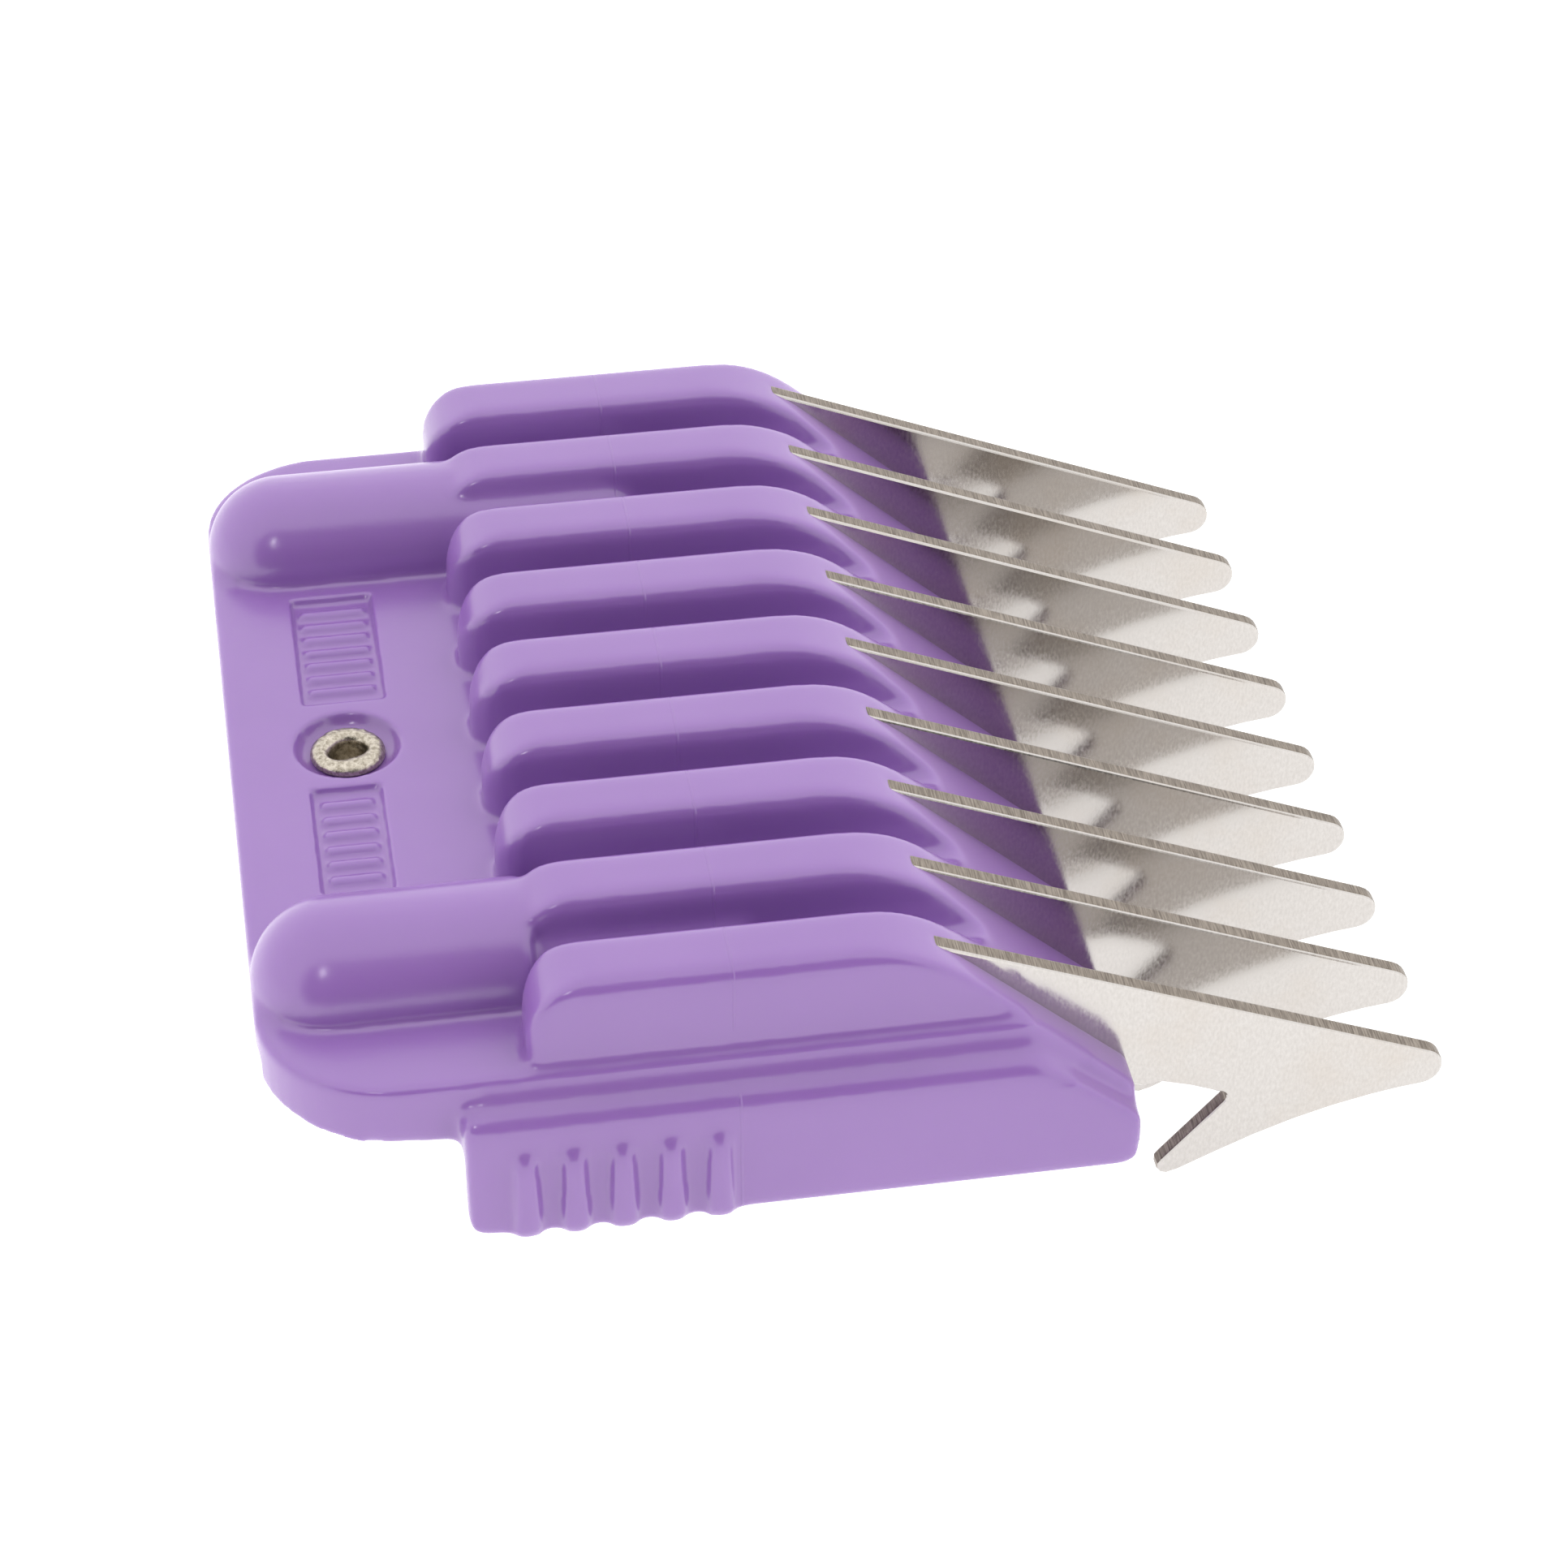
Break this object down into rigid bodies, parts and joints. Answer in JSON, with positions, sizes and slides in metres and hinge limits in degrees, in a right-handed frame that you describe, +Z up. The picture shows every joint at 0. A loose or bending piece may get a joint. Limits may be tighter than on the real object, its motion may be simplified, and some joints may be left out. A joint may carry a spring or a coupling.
{
  "type": "clipper guard comb",
  "caption": "Clip-on clipper guard comb: moulded plastic body with thin hooked steel teeth, two spring barrels and a sprung sliding latch under the deck.",
  "frame": {"origin": "middle of the part's bounding box, at the level of the hook ends", "axes": "+X towards the tooth tips, +Y across the comb, +Z up from the hooks to the ribs"},
  "size_m": [0.0474, 0.0476, 0.0144],
  "materials": {
    "purple_plastic": "soft satin moulded",
    "tooth_steel": "bright rolled sheet",
    "latch_steel": "pressed sheet",
    "spring_steel": "drawn wire",
    "plated_steel": "plated",
    "nickel_rivet": "rough rolled nickel"
  },
  "bodies": {
    "comb": {"comb_body": "purple_plastic", "tooth_1": "tooth_steel", "tooth_2": "tooth_steel", "tooth_3": "tooth_steel", "tooth_4": "tooth_steel", "tooth_5": "tooth_steel", "tooth_6": "tooth_steel", "tooth_7": "tooth_steel", "tooth_8": "tooth_steel", "tooth_9": "tooth_steel", "front_rod": "plated_steel", "rear_rod": "plated_steel", "rivet": "nickel_rivet", "rivet_washer": "plated_steel", "spring_far": "spring_steel", "spring_near": "spring_steel"},
    "latch": {"latch_plate": "latch_steel", "spring_pin_far": "plated_steel", "spring_pin_near": "plated_steel"}
  },
  "joints": [
    {"name": "latch_slide", "type": "slide", "parent": "comb", "child": "latch", "axis": [-1, 0, 0], "range_m": [0, 0.004], "stiffness_N_per_m": 2400, "springref_m": -0.002, "deforming": ["spring_far", "spring_near"]}
  ]
}
